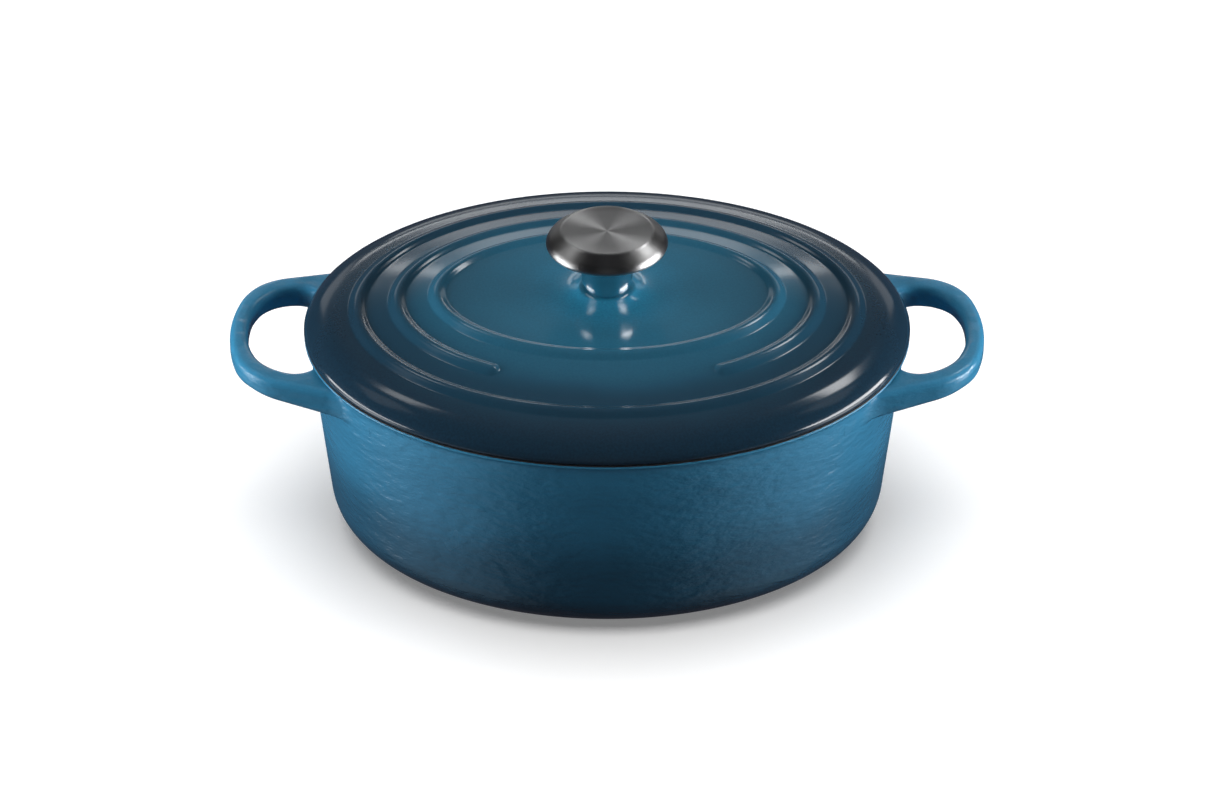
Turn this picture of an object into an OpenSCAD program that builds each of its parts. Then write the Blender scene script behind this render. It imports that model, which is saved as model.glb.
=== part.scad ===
// Oval cast iron dutch oven: pot with two loop handles, lift-off lid, steel knob screwed to the lid.
// Millimetres. The long axis is X, the width is Y, and the base rests on z = 0.
// Parts that go round the oval are one profile swept round an outline made of four arcs. In such a
// profile x is the distance outside the pot's rim, so it is negative inside, and y is height.
// The arcs meet on lines in the ratio 3:4:5, so that neighbouring arcs share exactly the same face.

/* [Oval] */
// Length of the oval at the pot's rim
rim_length = 294; // [288:1:300]
// Width of the oval at the pot's rim
rim_width = 238; // [234:1:242]

/* [Lid] */
// Height of the raised rings above the lid's surface
ring_height = 2; // [1.5:0.1:2.5]
// Width of a raised ring where it meets the lid
ring_width = 8.4; // [7.6:0.1:9.4]

/* [Pot] */
// Slope of the pot's wall from the vertical, in degrees
wall_draft = 6; // [5:0.1:7]
// Thickness of the cast wall and floor
wall_thickness = 4; // [3.6:0.1:4.6]
// Outside radius where the wall turns into the base
base_corner = 26; // [24:1:28]

/* [Handles] */
// Length over both handles
span = 365; // [362:1:368]
// Width of the handle's bar seen from above
bar_width = 10.4; // [9.6:0.1:11.2]
// Thickness of the handle's bar from top to bottom
bar_height = 12; // [11:0.1:13]

/* [Knob] */
// Radius of the knob's head
knob_radius = 29.2; // [28:0.1:30]
// Radius of the flat top of the knob's head
plateau_radius = 21; // [19:0.5:23]

/* [Hidden] */

// The oval: end arcs about (+-end_centre, 0), side arcs about (0, +-side_centre)
half_length = rim_length / 2;
half_width = rim_width / 2;
end_centre = 1.5 * (half_length - half_width);
side_centre = 2 * (half_length - half_width);
end_radius = half_length - end_centre;
side_radius = half_width + side_centre;
joint_angle = atan2(4, 3);
wedge = 80;
sweep_inset = 80;
plug_inset = 74;
plug_corners = 24;

// Enamel
lining = 0.5;
rim_coat = 0.3;

// Pot
rim_height = 108;
rim_chamfer = 0.8;
rim_bead = 2.6;
wall_inset = 2.3;
wall_start = 92;
edge_bottom = 104;
inner_inset = 5.2;
lining_drop = 1.5;
foot_width = 12;
foot_recess = 0.8;
corner_steps = 8;

// Lid
seat_gap = 0.3;
seat_height = rim_height + seat_gap + rim_coat;
seat_outer = 2.4;
seat_inner = 9.4;
skirt_inner = 12.4;
skirt_bottom = 104.1;
skirt_chamfer = 0.8;
panel_height = 128.7;
panel_under = 124.9;
panel_inset = 72;
ring_insets = [26.4, 45.6, 65];
ring_tops = [122.7, 126.5, 130.1];
ring_root = 2;
ring_gap_line = [36, -77];
boss_height = 132;
hole_radius = 4;

// Handles: a shallow arc along the outside, then a corner arc and a straight leg at each end.
// The pieces meet on lines in the ratio 7:24:25.
outer_arc = 92;
corner_arc = 32;
corner_start = [0.96, 0.28];
corner_end = [0.28, 0.96];
leg_length = 34;
bar_top = rim_height - 0.3;
bar_round = 3.4;
bar_round_steps = 5;
flare_radius = 30;
crotch_radius = 10;
flare_steps = 8;
flare_bury = 0.5;
flare_bevel = 1;
bar_inset = 3;
root_band = 40;

// Knob
stem_radius = 11.4;
stem_shoulder = 148;
cap_edge = 155.4;
bush_radius = 6;
bush_flange = 8.5;
bush_flange_height = 2;
thread_radius = 3;
thread_gap = 0.1;
screw_reach = 147;
screw_head_radius = 6.5;
screw_head_height = 3.2;
slot_width = 1.4;
slot_depth = 1.6;
washer_radius = 9;
washer_height = 1.2;
washer_top = panel_under - lining;
washer_bottom = washer_top - washer_height;

$fn = 96;

// ---- The oval ----

// Points of an arc between two directions
function arc(centre, radius, from, to, steps) =
    [for (i = [0 : steps]) let (a = from + (to - from) * i / steps) centre + radius * [cos(a), sin(a)]];

function backwards(points) = [for (i = [len(points) - 1 : -1 : 0]) points[i]];

// The point of the oval, inset from the rim, where the outline faces the given direction
function oval_point(inset, a) =
    abs(cos(a)) > cos(joint_angle)
        ? [sign(cos(a)) * end_centre + (end_radius - inset) * cos(a), (end_radius - inset) * sin(a)]
        : [(side_radius - inset) * cos(a), (side_radius - inset) * sin(a) - sign(sin(a)) * side_centre];

// The child profile turned about a point, cut to the wedge between two lines through that point
module turned(centre, radius, from, to, top) {
    intersection() {
        translate([centre.x, centre.y, 0])
            rotate_extrude()
                translate([radius, 0])
                    children();
        translate([0, 0, -top])
            linear_extrude(2 * top)
                polygon([centre, centre + from, centre + to]);
    }
}

// The child profile swept round the end arcs
module end_arcs() {
    for (turn = [0, 180])
        rotate([0, 0, turn])
            turned([end_centre, 0], end_radius, wedge * [3, -4], wedge * [3, 4], 2 * boss_height)
                children();
}

// The child profile swept along the back arc
module back_arc() {
    turned([0, -side_centre], side_radius, wedge * [3, 4], wedge * [-3, 4], 2 * boss_height)
        children();
}

// The child profile swept round the whole oval
module around_oval() {
    end_arcs() children();
    back_arc() children();
    rotate([0, 0, 180])
        back_arc() children();
}

// Slab that closes the middle of a swept shape; its outline is buried in the sweep
module plug(bottom, top) {
    step = 360 / plug_corners;
    translate([0, 0, bottom])
        linear_extrude(top - bottom)
            polygon([for (i = [0 : plug_corners - 1]) oval_point(plug_inset, (i + 0.5) * step)]);
}

// ---- Pot ----

corner_inset = wall_inset + (rim_height - base_corner) * tan(wall_draft) + base_corner / cos(wall_draft);

// Profile of the surface that lies a given depth inside the drafted wall, from the given height down
function pot_surface(depth, top) =
    concat(
        [[-wall_inset - (rim_height - top) * tan(wall_draft) - depth / cos(wall_draft), top]],
        arc([-corner_inset, base_corner], base_corner - depth, -wall_draft, -90, corner_steps)
    );

// The inside of the wall, with the rim's upright inner edge above it
function pot_inside(depth, top) =
    let (edge = -inner_inset - depth)
    concat([[edge, top], [edge, edge_bottom]], pot_surface(wall_thickness + depth, wall_start));

function pot_casting_profile() =
    let (
        top = rim_height - rim_coat,
        foot = corner_inset + foot_width
    )
    concat(
        [[-rim_chamfer, top], [0, top - rim_chamfer], [0, top - rim_bead], [-1.5, top - 2 * rim_bead]],
        pot_surface(0, wall_start),
        [[-foot, 0], [-foot - foot_recess, foot_recess], [-sweep_inset, foot_recess]],
        [[-sweep_inset, wall_thickness]],
        backwards(pot_inside(0, top))
    );

module pot_casting() {
    color([0.10, 0.36, 0.50]) {
        around_oval() polygon(pot_casting_profile());
        plug(foot_recess, wall_thickness);
        for (turn = [0, 180])
            rotate([0, 0, turn])
                handle();
    }
}

module pot_lining() {
    depth = wall_thickness + lining;
    top = rim_height - lining_drop;
    color([0.87, 0.83, 0.73]) {
        around_oval()
            polygon(concat(
                pot_inside(0, top),
                [[-sweep_inset, wall_thickness], [-sweep_inset, depth]],
                backwards(pot_inside(lining, top))
            ));
        plug(wall_thickness, depth);
    }
}

// Thin coat on top of the rim, where the lid rests
module pot_rim_coat() {
    color([0.13, 0.14, 0.15])
        around_oval()
            translate([-inner_inset, rim_height - rim_coat])
                square([inner_inset - rim_chamfer, rim_coat]);
}

// ---- Handles ----

half_bar = bar_width / 2;
arc_centre = [span / 2 - outer_arc, 0];
corner_centre = arc_centre + (outer_arc - corner_arc) * corner_start;
leg_normal = atan2(corner_end.y, corner_end.x);
leg_along = [-corner_end.y, corner_end.x];
leg_start = corner_centre + (corner_arc - half_bar) * corner_end;
wall_centre = [end_centre, 0];
wall_radius = end_radius - bar_inset;

// Rounded section of the bar, centred across the bar and hanging below the bar's top
module bar_section() {
    x = half_bar - bar_round;
    polygon(concat(
        arc([x, -bar_round], bar_round, 0, 90, bar_round_steps),
        arc([-x, -bar_round], bar_round, 90, 180, bar_round_steps),
        arc([-x, bar_round - bar_height], bar_round, 180, 270, bar_round_steps),
        arc([x, bar_round - bar_height], bar_round, 270, 360, bar_round_steps)
    ));
}

// Centre of a circle that touches one face of the leg and the pot's wall
function blend_centre(side, radius) =
    let (
        start = leg_start + side * (half_bar + radius) * corner_end,
        q = start - wall_centre,
        along = q * leg_along,
        s = -along - sqrt(along ^ 2 - q * q + (wall_radius + radius) ^ 2)
    )
    start + s * leg_along;

// Plan of the metal that fills the corner between the leg and the wall on one side of the leg
function blend_points(side, radius) =
    let (
        c = blend_centre(side, radius),
        to_leg = side > 0 ? leg_normal + 180 : leg_normal,
        to_wall = atan2(c.y - wall_centre.y, c.x - wall_centre.x) + 180,
        curve = arc(c, radius, to_leg, to_wall, flare_steps),
        leg_end = c + (radius + flare_bury) * [cos(to_leg), sin(to_leg)],
        wall_end = c + (radius + flare_bury) * [cos(to_wall), sin(to_wall)],
        root = leg_start + leg_length * leg_along
    )
    concat([leg_end], [for (i = [1 : flare_steps - 1]) curve[i]], [wall_end, root]);

module blend(side, radius) {
    translate([0, 0, bar_top - bar_height + flare_bevel])
        linear_extrude(bar_height - 2 * flare_bevel)
            polygon(blend_points(side, radius));
}

// Leg at the +Y end of the bar, with the metal that blends it into the wall
module leg() {
    translate([leg_start.x, leg_start.y, bar_top])
        rotate([90, 0, leg_normal + 180])
            linear_extrude(leg_length)
                bar_section();
    blend(1, flare_radius);
    blend(-1, crotch_radius);
}

// Corner and leg at the +Y end of the bar
module half_loop() {
    radius = corner_arc - half_bar;
    from = 2 * corner_arc * corner_start;
    to = 2 * corner_arc * corner_end;
    translate([0, 0, bar_top])
        turned(corner_centre, radius, from, to, bar_height + 1)
            bar_section();
    leg();
}

// Shallow arc along the outside of the loop
module outer_bar() {
    line = 2 * outer_arc * corner_start;
    translate([0, 0, bar_top])
        turned(arc_centre, outer_arc - half_bar, [line.x, -line.y], line, bar_height + 1)
            bar_section();
}

// The +X handle, cut off at the middle of the wall's thickness
module handle() {
    inner = bar_inset + wall_thickness / 2;
    difference() {
        union() {
            outer_bar();
            for (side = [0, 1])
                mirror([0, side, 0])
                    half_loop();
        }
        end_arcs()
            translate([-inner - root_band, bar_top - 2 * bar_height])
                square([root_band, 3 * bar_height]);
    }
}

// ---- Lid ----

// Outside of the lid from its seat over the rounded edge and the shoulder to the flat panel
lid_outside = [
    [-seat_outer, seat_height], [-1.2, 108.9], [-0.8, 109.6], [-0.6, 110.5], [-0.7, 111.5],
    [-1.3, 112.6], [-2.2, 113.4], [-3.6, 114.6], [-5.2, 115.8], [-7.2, 117], [-9.5, 118.1],
    [-12.2, 119], [-15.5, 119.6], [-20, 120.1], [-26.4, 120.8], [-45.6, 124.5], [-65, 128.1],
    [-69, 128.6], [-panel_inset, panel_height], [-sweep_inset, panel_height]
];

// Underside of the lid from the skirt's inner face to the flat middle
lid_underside = [
    [-skirt_inner, skirt_bottom + skirt_chamfer], [-skirt_inner, 110.6], [-13, 112.4],
    [-14.6, 113.9], [-18, 115.3], [-26.4, 116.9], [-45.6, 120.7], [-65, 124.3], [-69, 124.8],
    [-panel_inset, panel_under], [-sweep_inset, panel_under]
];

module lid_shell() {
    skirt = [
        [-skirt_inner + skirt_chamfer, skirt_bottom],
        [-seat_inner - skirt_chamfer, skirt_bottom],
        [-seat_inner, skirt_bottom + skirt_chamfer],
        [-seat_inner, seat_height]
    ];
    around_oval() polygon(concat(lid_outside, backwards(lid_underside), skirt));
    plug(panel_under, panel_height);
}

// Rounded top of a ring as a slice of a circle, rooted in the lid's thickness
module ring_section(top) {
    radius = (ring_width ^ 2 / 4 + ring_height ^ 2) / (2 * ring_height);
    intersection() {
        translate([0, top - radius]) circle(radius);
        translate([-ring_width, top - ring_height - ring_root])
            square([2 * ring_width, ring_height + ring_root]);
    }
}

module full_ring(inset, top) {
    around_oval() translate([-inset, 0]) ring_section(top);
}

// Front arc of a ring up to the gap on the +X side, its end rounded in plan
module ring_stub(inset, top) {
    centre = [0, side_centre];
    end = centre + (side_radius - inset) / norm(ring_gap_line) * ring_gap_line;
    intersection() {
        translate([0, side_centre, 0])
            rotate_extrude()
                translate([side_radius - inset, 0])
                    ring_section(top);
        linear_extrude(2 * top) {
            polygon([centre, centre + wedge / 20 * ring_gap_line, centre + wedge * [3, -4]]);
            translate(end)
                circle(ring_width / 2);
        }
    }
}

// Ring that stops short of the middle of the front
module broken_ring(inset, top) {
    end_arcs() translate([-inset, 0]) ring_section(top);
    back_arc() translate([-inset, 0]) ring_section(top);
    for (side = [0, 1])
        mirror([side, 0, 0])
            ring_stub(inset, top);
}

// Flared boss under the knob
module boss() {
    rotate_extrude()
        polygon([
            [0, panel_under + 1], [27, panel_under + 1], [26, panel_height - 0.2],
            [20.5, panel_height + 0.5], [17, panel_height + 1.4], [14.6, panel_height + 2.5],
            [13.4, boss_height], [0, boss_height]
        ]);
}

module lid_casting() {
    color([0.10, 0.36, 0.50])
        difference() {
            union() {
                lid_shell();
                full_ring(ring_insets[0], ring_tops[0]);
                broken_ring(ring_insets[1], ring_tops[1]);
                full_ring(ring_insets[2], ring_tops[2]);
                boss();
            }
            translate([0, 0, panel_under - 1])
                cylinder(h = boss_height - panel_under + 2, r = hole_radius);
        }
}

module lid_lining() {
    under = [for (p = lid_underside) p - [lining, lining]];
    color([0.87, 0.83, 0.73])
        difference() {
            union() {
                around_oval() polygon(concat(lid_underside, backwards(under)));
                plug(panel_under - lining, panel_under);
            }
            translate([0, 0, panel_under - 2 * lining])
                cylinder(h = 3 * lining, r = hole_radius);
        }
}

module lid_rim_coat() {
    color([0.13, 0.14, 0.15])
        around_oval()
            translate([-seat_inner, seat_height - rim_coat])
                square([seat_inner - seat_outer, rim_coat]);
}

// ---- Knob ----

// Brushed cap: dished flat top, bevel and rounded edge
module knob_cap() {
    color([0.62, 0.62, 0.62])
        rotate_extrude()
            polygon([
                [0, 163.2], [plateau_radius - 3, 163.4], [plateau_radius, 163.9],
                [plateau_radius + 1.6, 163.6], [knob_radius - 3.4, 162.1],
                [knob_radius - 1.2, 160.2], [knob_radius - 0.2, 158.4],
                [knob_radius, 157], [knob_radius - 0.5, 155.9], [knob_radius - 1.4, cap_edge],
                [knob_radius - 2.2, cap_edge], [knob_radius - 2.2, 157.4], [knob_radius - 3, 159.2],
                [plateau_radius + 1.4, 161.6], [plateau_radius - 3, 161.6], [0, 161.4]
            ]);
}

// Polished stem that opens into the dish under the cap
module knob_stem() {
    rim = knob_radius - 2.2;
    color([0.75, 0.76, 0.78])
        rotate_extrude()
            polygon([
                [bush_radius, boss_height], [stem_radius - 0.4, boss_height],
                [stem_radius, boss_height + 0.4], [13.1, 144], [13.8, 147], [15.2, 149.4],
                [18.5, 151.6], [rim - 2, 154.4], [rim, cap_edge], [rim, 157.2], [rim - 1.6, 156.6],
                [17.6, 153.6], [14, 151.6], [12.4, stem_shoulder], [bush_radius, stem_shoulder]
            ]);
}

// Threaded bush with a flange that rests on the stem's shoulder
module knob_bush() {
    color([0.72, 0.62, 0.36])
        difference() {
            union() {
                translate([0, 0, boss_height])
                    cylinder(h = stem_shoulder - boss_height, r = bush_radius);
                translate([0, 0, stem_shoulder])
                    cylinder(h = bush_flange_height, r = bush_flange);
            }
            translate([0, 0, boss_height - 1])
                cylinder(h = stem_shoulder + bush_flange_height - boss_height + 2, r = thread_radius);
        }
}

// Slotted screw that comes up through the lid into the bush
module knob_screw() {
    head_bottom = washer_bottom - screw_head_height;
    color([0.66, 0.67, 0.69])
        difference() {
            union() {
                translate([0, 0, head_bottom])
                    cylinder(h = screw_head_height, r1 = screw_head_radius - 1.2, r2 = screw_head_radius);
                translate([0, 0, washer_bottom])
                    cylinder(h = screw_reach - washer_bottom, r = thread_radius - thread_gap);
            }
            translate([-2 * screw_head_radius, -slot_width / 2, head_bottom - 1])
                cube([4 * screw_head_radius, slot_width, slot_depth + 1]);
        }
}

module knob_washer() {
    color([0.66, 0.67, 0.69])
        translate([0, 0, washer_bottom])
            difference() {
                cylinder(h = washer_height, r = washer_radius);
                translate([0, 0, -1])
                    cylinder(h = washer_height + 2, r = thread_radius + thread_gap);
            }
}

pot_casting();
pot_lining();
pot_rim_coat();
lid_casting();
lid_lining();
lid_rim_coat();
knob_cap();
knob_stem();
knob_bush();
knob_screw();
knob_washer();
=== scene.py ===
"""Looks of the oval cast iron dutch oven: enamelled pot and lid, steel knob, floor, light and camera.

Metres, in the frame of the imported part: X along the oval, Y to the back, Z up, the base on z = 0.
Shapes are worked out in millimetres and scaled by MM when a mesh is made. In a profile that goes
round the oval, the first value is the inset from the pot's rim and the second is the height.
"""

import math

import bpy
import numpy as np
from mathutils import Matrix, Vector


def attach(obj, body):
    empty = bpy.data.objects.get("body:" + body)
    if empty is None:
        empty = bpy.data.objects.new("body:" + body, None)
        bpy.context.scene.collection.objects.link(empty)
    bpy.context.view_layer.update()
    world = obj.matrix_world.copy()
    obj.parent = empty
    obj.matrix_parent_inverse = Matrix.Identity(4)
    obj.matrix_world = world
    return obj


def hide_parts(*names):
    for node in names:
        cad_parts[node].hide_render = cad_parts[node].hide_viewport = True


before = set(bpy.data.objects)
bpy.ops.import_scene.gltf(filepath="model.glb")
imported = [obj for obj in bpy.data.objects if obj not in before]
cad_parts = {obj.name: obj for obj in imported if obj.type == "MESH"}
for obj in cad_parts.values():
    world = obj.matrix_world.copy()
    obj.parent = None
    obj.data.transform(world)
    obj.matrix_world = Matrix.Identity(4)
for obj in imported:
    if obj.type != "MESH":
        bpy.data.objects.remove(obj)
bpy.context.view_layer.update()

MM = 0.001

# ---- Measures, in millimetres ----

# The oval at the pot's rim, and the inset at which level floors change from oval to round
HALF_LENGTH = 146.9
HALF_WIDTH = 118.9
CORE_INSET = 74.0

# The pot: its wall leans inwards by the draft, and is set in a little from the bead at the rim
RIM_HEIGHT = 108.0
WALL_DRAFT = math.radians(6)
WALL = 4.0
WALL_INSET = 2.3
BASE_CORNER = 26.0

# Thickness of the enamel that is drawn as pieces of its own
RIM_COAT = 0.3
LINING = 0.5

# The lid: three raised rings, the middle one with a gap, and a flat panel with a boss for the knob
RING_HEIGHT = 2.0
RING_HALF_WIDTH = 4.6
RING_INSETS = (26.4, 45.6, 65.0)
RING_GAP = 54.8
PANEL_HEIGHT = 128.7
PANEL_UNDER = 124.9
BOSS_HEIGHT = 132.0
SCREW_HOLE = 4.0
SEAT_HEIGHT = 108.6

# Distance from the middle of the pot to the end of a handle
HANDLE_SPAN = 182.4


# ---- Lines ----


def curve_through(points, spacing):
    """Points at about the given spacing along a smooth curve through the given ones."""
    p = np.array(points, float)
    first = 2 * p[0] - p[1]
    last = 2 * p[-1] - p[-2]
    p = np.vstack([first, p, last])
    line = []
    for i in range(1, len(p) - 2):
        a, b, c, d = p[i - 1 : i + 3]
        steps = max(1, int(round(np.linalg.norm(c - b) / spacing)))
        knots = np.cumsum([0] + [np.linalg.norm(t - s) ** 0.5 for s, t in ((a, b), (b, c), (c, d))])
        t = np.linspace(knots[1], knots[2], steps, endpoint=False)[:, None]
        ab = a + (b - a) * (t - knots[0]) / (knots[1] - knots[0])
        bc = b + (c - b) * (t - knots[1]) / (knots[2] - knots[1])
        cd = c + (d - c) * (t - knots[2]) / (knots[3] - knots[2])
        abc = ab + (bc - ab) * (t - knots[0]) / (knots[2] - knots[0])
        bcd = bc + (cd - bc) * (t - knots[1]) / (knots[3] - knots[1])
        line.append(abc + (bcd - abc) * (t - knots[1]) / (knots[2] - knots[1]))
    line.append(p[-2:-1])
    return np.vstack(line)


def straight(start, end, steps):
    """Points from start towards end, without the end itself."""
    t = np.linspace(0, 1, steps, endpoint=False)[:, None]
    return np.array(start) + t * (np.array(end) - np.array(start))


def arc(centre, radius, start, end, steps):
    """Points of an arc between two directions in degrees."""
    a = np.radians(np.linspace(start, end, steps + 1))
    return np.array(centre) + radius * np.stack([np.cos(a), np.sin(a)], 1)


# ---- The oval: an ellipse and the curves parallel to it ----


def oval(inset, a):
    """Plan points of the oval where it faces direction a, moved inwards by inset."""
    c, s = np.cos(a), np.sin(a)
    reach = np.hypot(HALF_LENGTH * c, HALF_WIDTH * s)
    x = (HALF_LENGTH**2 / reach - inset) * c
    y = (HALF_WIDTH**2 / reach - inset) * s
    return np.stack([x, y], 1)


def oval_row(inset, height, a):
    """One ring of vertices round the oval."""
    return np.column_stack([oval(inset, a), np.full(len(a), height)])


def round_row(radius, height, a):
    """One ring of vertices round the Z axis."""
    return np.column_stack([radius * np.cos(a), radius * np.sin(a), np.full(len(a), height)])


def core_rows(radius, height, a, steps):
    """Rings at one height that turn from the oval at CORE_INSET into a circle, without both ends."""
    outer, inner = oval_row(CORE_INSET, height, a), round_row(radius, height, a)
    return [outer + (inner - outer) * i / steps for i in range(1, steps)]


# ---- Meshes ----


def skin(rows, loop=False, start=None, end=None):
    """Vertices and faces of a surface through rings of equal length. Loop joins the last ring to the
    first. Start and end are the heights of caps in the middle of the first and last rings."""
    count = len(rows[0])
    points = list(rows)
    faces = []
    pairs = [(i, i + 1) for i in range(len(rows) - 1)]
    if loop:
        pairs.append((len(rows) - 1, 0))
    j = np.arange(count)
    k = (j + 1) % count
    for i, n in pairs:
        faces.append(np.stack([i * count + j, i * count + k, n * count + k, n * count + j], 1))
    quads = np.vstack(faces).tolist()
    fans = []
    total = len(rows) * count
    for height, row, flip in ((start, 0, True), (end, len(rows) - 1, False)):
        if height is None:
            continue
        points.append(np.array([[0.0, 0.0, height]]))
        base = row * count
        ring = np.stack([base + j, base + k, np.full(count, total)], 1)
        fans += (ring[:, ::-1] if flip else ring).tolist()
        total += 1
    return np.vstack(points), quads + fans


def piece(name, shape, body, slot, material, *nodes):
    """A smooth mesh object that rides on a body and stands for CAD nodes.
    Shape is (vertices, faces) in millimetres."""
    points, faces = shape
    mesh = bpy.data.meshes.new(name)
    mesh.from_pydata((points * MM).tolist(), [], faces)
    mesh.validate()
    mesh.polygons.foreach_set("use_smooth", np.ones(len(mesh.polygons), bool))
    mesh.materials.append(material)
    thing = bpy.data.objects.new(name, mesh)
    bpy.context.scene.collection.objects.link(thing)
    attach(thing, body)
    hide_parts(*nodes)
    return thing


def joined(*shapes):
    """Several (vertices, faces) as one."""
    points, faces, start = [], [], 0
    for p, f in shapes:
        points.append(p)
        faces += [[start + i for i in face] for face in f]
        start += len(p)
    return np.vstack(points), faces


def mirrored(shape):
    """The shape mirrored across the YZ plane."""
    points, faces = shape
    return points * [-1, 1, 1], [face[::-1] for face in faces]


# ---- Pot ----

POT_DIRECTIONS = np.linspace(0, 2 * math.pi, 480, endpoint=False)
CORNER_INSET = (
    WALL_INSET + (RIM_HEIGHT - BASE_CORNER) * math.tan(WALL_DRAFT) + BASE_CORNER / math.cos(WALL_DRAFT)
)

# Outside: where the bead has run out into the wall, and the foot ring that the pot stands on
BEAD_BOTTOM = 96.0
FOOT_WIDTH = 12.0
FOOT_RECESS = 0.8

# Inside: inset of the rim's inner edge, and two heights between which it turns into the wall
INNER_INSET = 5.2
INNER_BEND = (92.0, 86.0)

# The lining stops below the rim. Its back stays clear of the casting by a hair.
LINING_DROP = 1.5
LINING_GAP = 0.02

# Radius of the small disc that closes the middle of the floor
DISC_RADIUS = 20.0


def wall_inset(height):
    """Inset of the pot's drafted wall at a height."""
    return WALL_INSET + (RIM_HEIGHT - height) * math.tan(WALL_DRAFT)


def corner(depth, steps):
    """Arc from the wall to the floor, a given depth inside the outer surface."""
    line = arc((0, BASE_CORNER), BASE_CORNER - depth, -math.degrees(WALL_DRAFT), -90, steps)
    line[:, 0] = CORNER_INSET - line[:, 0]
    return line


def pot_outside():
    """Bead at the rim, wall, base corner, foot and the shallow recess inside the foot."""
    wall_top = (wall_inset(BEAD_BOTTOM), BEAD_BOTTOM)
    bead = [
        (1.3, 107.7), (0.95, 107.62), (0.68, 107.4), (0.58, 107.05), (0.7, 106.65), (1.0, 106.25),
        (1.4, 105.75), (1.9, 105.05), (2.35, 104.1), (2.75, 102.5), (wall_inset(99.5), 99.5), wall_top,
    ]
    foot = CORNER_INSET + FOOT_WIDTH
    foot_edge = [(foot - 2, 0), (foot, 0.1), (foot + 1, 0.6), (foot + 3, FOOT_RECESS)]
    return np.vstack([
        curve_through(bead, 0.45)[:-1],
        straight(wall_top, corner(0, 1)[0], 30),
        corner(0, 26),
        curve_through(foot_edge, 0.6),
    ])


def pot_inside(depth, top):
    """Inside of the wall from the rim to the floor, a given depth inside the casting's surface."""
    start = INNER_INSET + depth
    depth += WALL
    shift = depth / math.cos(WALL_DRAFT)
    bend = [(wall_inset(height) + shift, height) for height in INNER_BEND]
    return np.vstack([
        curve_through([(start, top), (start + 0.1, top - 3)] + bend, 2)[:-1],
        straight(bend[-1], corner(depth, 1)[0], 12),
        corner(depth, 16),
    ])


def disc_rows(height, a):
    """Rings of a level floor, from the oval at CORE_INSET inwards to a small disc in the middle."""
    return core_rows(DISC_RADIUS, height, a, 5) + [round_row(DISC_RADIUS, height, a)]


def pot_body():
    """The casting without its handles: up the outside, over the rim and down the inside."""
    a = POT_DIRECTIONS
    under = disc_rows(FOOT_RECESS, a)[::-1]
    outside = [oval_row(q, z, a) for q, z in pot_outside()[::-1]]
    inside = [oval_row(q, z, a) for q, z in pot_inside(0, RIM_HEIGHT - RIM_COAT)]
    return skin(under + outside + inside + disc_rows(WALL, a), start=FOOT_RECESS, end=WALL)


def pot_lining():
    """Thin light enamel that covers the inside of the casting."""
    a = POT_DIRECTIONS
    top = RIM_HEIGHT - LINING_DROP
    floor = WALL + LINING
    outer = [oval_row(q, z, a) for q, z in pot_inside(LINING_GAP, top)[::-1]]
    inner = [oval_row(q, z, a) for q, z in pot_inside(LINING, top)]
    return skin(disc_rows(WALL, a)[::-1] + outer + inner + disc_rows(floor, a), start=WALL, end=floor)


def pot_rim_coat():
    """Thin dark enamel on top of the rim."""
    low, high = RIM_HEIGHT - RIM_COAT, RIM_HEIGHT
    line = [
        (0.9, low), (0.9, low + 0.1), (1.1, high - 0.05), (1.5, high), (3.0, high), (4.6, high),
        (5.0, high - 0.05), (INNER_INSET, high - 0.2), (INNER_INSET, low),
    ]
    return skin([oval_row(q, z, POT_DIRECTIONS) for q, z in line], loop=True)


# ---- Handles ----
# Worked out as a distance field: the bar seen from above, with round fillets into the wall, is given
# its height and rounded edges, then joined to the wall with a small soft crease.

# Outline seen from above: a shallow arc, a corner arc from one direction to the next, a straight leg
OUTER_ARC = 92.0
CORNER_ARC = 32.0
CORNER_START = np.array([0.96, 0.28])
CORNER_END = np.array([0.28, 0.96])

# The bar is narrowest at the loop's end and widens to its legs, and its edges are rounded
BAR_WIDTH = 9.0
LEG_WIDTH = 11.8
WIDENING_START = 10.0
WIDENING_LENGTH = 28.0
BAR_ROUND = 3.5

# Heights of the bar at the loop's end, and how far each falls over one slope length to the wall
BAR_TOP = 108.7
BAR_BOTTOM = 98.1
TOP_DIP = 1.7
BOTTOM_DROP = 4.9
SLOPE_START = 170.0
SLOPE_LENGTH = 34.0
SLOPE_END = 1.35

# Fillets outside and inside each leg, with the directions that the wall faces where they meet it
FLARE_RADIUS = 30.0
CROTCH_RADIUS = 10.5
OUTER_FACING = math.radians(38)
CROTCH_FACING = math.radians(16)

# The root: the size of its crease, the height at which its plan is drawn, how far the fillets start
# inside the wall there, how deep the metal goes, and the skin that spreads just under the wall
CREASE = 1.6
ROOT_HEIGHT = 100.0
ROOT_SINK = 1.0
ROOT_DEPTH = 2.0
ROOT_SPREAD = 4.0
SKIN_SINK = 0.12

# The box in which the field is worked out, its spare margin in plan, and a distance beyond it all
FIELD_LOW = (112, -74, 88)
FIELD_HIGH = (184, 74, 111)
FIELD_EDGE = 2.0
CELL = 0.8
FAR = 1000.0

# Samples of the rim's outline, from one side of +X to the other in radians
RIM_REACH = 1.2
RIM_SAMPLES = 1601
BATCH = 4000

ARC_CENTRE = np.array([HANDLE_SPAN - OUTER_ARC, 0])
CORNER_CENTRE = ARC_CENTRE + (OUTER_ARC - CORNER_ARC) * CORNER_START
LEG_ALONG = np.array([-CORNER_END[1], CORNER_END[0]])
LEG_FACE = CORNER_CENTRE @ CORNER_END + CORNER_ARC


def slope(x):
    """How far down the handle's slope a point is: 0 at the loop's end, growing towards the wall."""
    return np.clip((SLOPE_START - x) / SLOPE_LENGTH, 0, SLOPE_END)


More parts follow.
